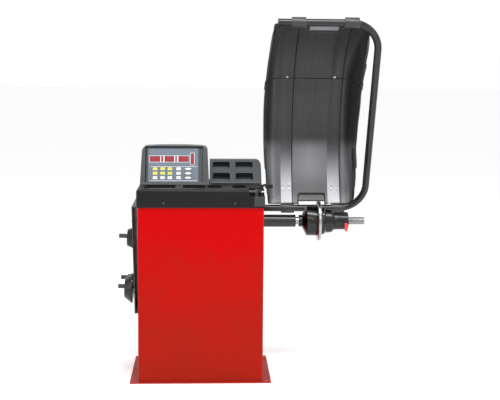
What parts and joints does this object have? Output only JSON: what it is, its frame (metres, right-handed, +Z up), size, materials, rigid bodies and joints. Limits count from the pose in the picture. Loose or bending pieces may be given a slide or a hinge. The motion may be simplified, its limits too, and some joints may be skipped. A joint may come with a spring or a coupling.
{
  "type": "wheel balancer machine",
  "caption": "Floor-standing wheel balancer: cabinet with tray, display head, spindle with clamping nut, and a swinging wheel hood.",
  "frame": {"origin": "on the floor, at the centre of the cabinet's footprint", "axes": "+X along the spindle towards its free end, +Y to the back, +Z up"},
  "size_m": [1.2409, 0.6631, 1.6962],
  "materials": {
    "red_paint": "satin powder coat",
    "black_plastic": "fine moulded texture",
    "head_plastic": "fine moulded texture",
    "overlay": "printed film, satin",
    "window_red": "clear red window",
    "key_yellow": "printed film",
    "key_white": "printed film",
    "tube_paint": "gloss black powder coat",
    "bracket_paint": "black powder coat",
    "hood_plastic": "satin vacuum-formed sheet",
    "blackened_steel": "blackened, oiled",
    "bright_steel": "turned",
    "zinc": "zinc plated",
    "rubber": "matt",
    "alloy": "as cast",
    "motor_paint": "grey paint",
    "board": "solder mask",
    "brass": "plain",
    "lever_red": "moulded",
    "steel_sheet": "black paint"
  },
  "bodies": {
    "machine": {"base_plate": "red_paint", "cabinet": "red_paint", "rear_cover": "red_paint", "cabinet_screws": "zinc", "spindle_bracket": "bracket_paint", "spindle_housing": "tube_paint", "bearings": "bright_steel", "drive_belt": "rubber", "motor": "motor_paint", "encoder_sensor": "board", "force_sensors": "brass", "main_board": "board", "mains_inlet": "black_plastic", "switch_body": "black_plastic", "top_tray": "black_plastic", "head_housing": "head_plastic", "head_back": "head_plastic", "panel_overlay": "overlay", "display_windows": "window_red", "weight_pockets": "head_plastic", "gauge_guide": "bracket_paint", "pivot_blocks": "bracket_paint", "accessory_panel": "steel_sheet"},
    "spindle": {"main_shaft": "bright_steel", "hub_flange": "blackened_steel", "face_disc": "bright_steel", "centring_spring": "zinc", "driven_pulley": "alloy", "encoder_disc": "zinc"},
    "motor_rotor": {"motor_pulley": "alloy"},
    "clamp_cup": {"pressure_cup": "blackened_steel", "cup_ring": "rubber"},
    "clamp_nut": {"quick_nut": "blackened_steel"},
    "nut_lever": {"release_lever": "lever_red"},
    "hood": {"hood_tube": "tube_paint", "hood_upper": "hood_plastic", "hood_lower": "hood_plastic", "hood_screws": "zinc", "hood_clamps": "bracket_paint"},
    "rocker": {"switch_rocker": "lever_red"},
    "gauge_slider": {"gauge_rod": "bright_steel"},
    "gauge_finger": {"gauge_arm": "black_plastic"},
    "small_cone": {"cone_small": "blackened_steel"},
    "medium_cone": {"cone_medium": "blackened_steel"},
    "large_cone": {"cone_large": "blackened_steel"},
    "key_1": {"key_1": "key_yellow"},
    "key_2": {"key_2": "key_yellow"},
    "key_3": {"key_3": "key_yellow"},
    "key_4": {"key_4": "key_white"},
    "key_5": {"key_5": "key_yellow"},
    "key_6": {"key_6": "key_yellow"},
    "key_7": {"key_7": "key_yellow"},
    "key_8": {"key_8": "key_white"},
    "key_9": {"key_9": "key_white"},
    "key_10": {"key_10": "key_white"},
    "key_11": {"key_11": "key_white"},
    "key_12": {"key_12": "key_white"},
    "oval_key_1": {"oval_key_1": "key_white"},
    "oval_key_2": {"oval_key_2": "key_white"},
    "oval_key_3": {"oval_key_3": "key_white"}
  },
  "joints": [
    {"name": "hood_swing", "type": "hinge", "parent": "machine", "child": "hood", "pos_m": [0.4, 0.33, 0.75], "axis": [1, 0, 0], "range_deg": [0, 50]},
    {"name": "spindle_spin", "type": "hinge", "parent": "machine", "child": "spindle", "pos_m": [0, 0, 0.7335], "axis": [1, 0, 0], "continuous": true},
    {"name": "motor_spin", "type": "hinge", "parent": "machine", "child": "motor_rotor", "pos_m": [-0.23, 0.06, 0.545], "axis": [1, 0, 0], "continuous": true},
    {"name": "cup_slide", "type": "slide", "parent": "spindle", "child": "clamp_cup", "axis": [1, 0, 0], "range_m": [0, 0.215]},
    {"name": "nut_turn", "type": "hinge", "parent": "clamp_cup", "child": "clamp_nut", "pos_m": [0.67, 0, 0.7335], "axis": [1, 0, 0], "continuous": true},
    {"name": "lever_press", "type": "hinge", "parent": "clamp_nut", "child": "nut_lever", "pos_m": [0.69, -0.047, 0.7255], "axis": [1, 0, 0], "range_deg": [0, 12], "stiffness_Nm_per_rad": 0.4},
    {"name": "rocker_tilt", "type": "hinge", "parent": "machine", "child": "rocker", "pos_m": [-0.284, 0.19, 0.77], "axis": [0, 1, 0], "range_deg": [-14, 0]},
    {"name": "gauge_slide", "type": "slide", "parent": "machine", "child": "gauge_slider", "axis": [1, 0, 0], "range_m": [0, 0.22]},
    {"name": "gauge_turn", "type": "hinge", "parent": "gauge_slider", "child": "gauge_finger", "pos_m": [0.27, -0.19, 0.895], "axis": [1, 0, 0], "range_deg": [-25, 60]},
    {"name": "small_cone_off", "type": "slide", "parent": "machine", "child": "small_cone", "axis": [-0.999, 0, 0.0436], "range_m": [0, 0.09]},
    {"name": "medium_cone_off", "type": "slide", "parent": "machine", "child": "medium_cone", "axis": [-0.999, 0, 0.0436], "range_m": [0, 0.09]},
    {"name": "large_cone_off", "type": "slide", "parent": "machine", "child": "large_cone", "axis": [-0.999, 0, 0.0436], "range_m": [0, 0.09]},
    {"name": "key_1_press", "type": "slide", "parent": "machine", "child": "key_1", "axis": [0, 0.9272, -0.3746], "range_m": [0, 0.0005], "stiffness_N_per_m": 600},
    {"name": "key_2_press", "type": "slide", "parent": "machine", "child": "key_2", "axis": [0, 0.9272, -0.3746], "range_m": [0, 0.0005], "stiffness_N_per_m": 600},
    {"name": "key_3_press", "type": "slide", "parent": "machine", "child": "key_3", "axis": [0, 0.9272, -0.3746], "range_m": [0, 0.0005], "stiffness_N_per_m": 600},
    {"name": "key_4_press", "type": "slide", "parent": "machine", "child": "key_4", "axis": [0, 0.9272, -0.3746], "range_m": [0, 0.0005], "stiffness_N_per_m": 600},
    {"name": "key_5_press", "type": "slide", "parent": "machine", "child": "key_5", "axis": [0, 0.9272, -0.3746], "range_m": [0, 0.0005], "stiffness_N_per_m": 600},
    {"name": "key_6_press", "type": "slide", "parent": "machine", "child": "key_6", "axis": [0, 0.9272, -0.3746], "range_m": [0, 0.0005], "stiffness_N_per_m": 600},
    {"name": "key_7_press", "type": "slide", "parent": "machine", "child": "key_7", "axis": [0, 0.9272, -0.3746], "range_m": [0, 0.0005], "stiffness_N_per_m": 600},
    {"name": "key_8_press", "type": "slide", "parent": "machine", "child": "key_8", "axis": [0, 0.9272, -0.3746], "range_m": [0, 0.0005], "stiffness_N_per_m": 600},
    {"name": "key_9_press", "type": "slide", "parent": "machine", "child": "key_9", "axis": [0, 0.9272, -0.3746], "range_m": [0, 0.0005], "stiffness_N_per_m": 600},
    {"name": "key_10_press", "type": "slide", "parent": "machine", "child": "key_10", "axis": [0, 0.9272, -0.3746], "range_m": [0, 0.0005], "stiffness_N_per_m": 600},
    {"name": "key_11_press", "type": "slide", "parent": "machine", "child": "key_11", "axis": [0, 0.9272, -0.3746], "range_m": [0, 0.0005], "stiffness_N_per_m": 600},
    {"name": "key_12_press", "type": "slide", "parent": "machine", "child": "key_12", "axis": [0, 0.9272, -0.3746], "range_m": [0, 0.0005], "stiffness_N_per_m": 600},
    {"name": "oval_key_1_press", "type": "slide", "parent": "machine", "child": "oval_key_1", "axis": [0, 0.9272, -0.3746], "range_m": [0, 0.0005], "stiffness_N_per_m": 600},
    {"name": "oval_key_2_press", "type": "slide", "parent": "machine", "child": "oval_key_2", "axis": [0, 0.9272, -0.3746], "range_m": [0, 0.0005], "stiffness_N_per_m": 600},
    {"name": "oval_key_3_press", "type": "slide", "parent": "machine", "child": "oval_key_3", "axis": [0, 0.9272, -0.3746], "range_m": [0, 0.0005], "stiffness_N_per_m": 600}
  ],
  "couplings": [
    {"joint": "motor_spin", "follows": "spindle_spin", "ratio": 2.9167}
  ]
}
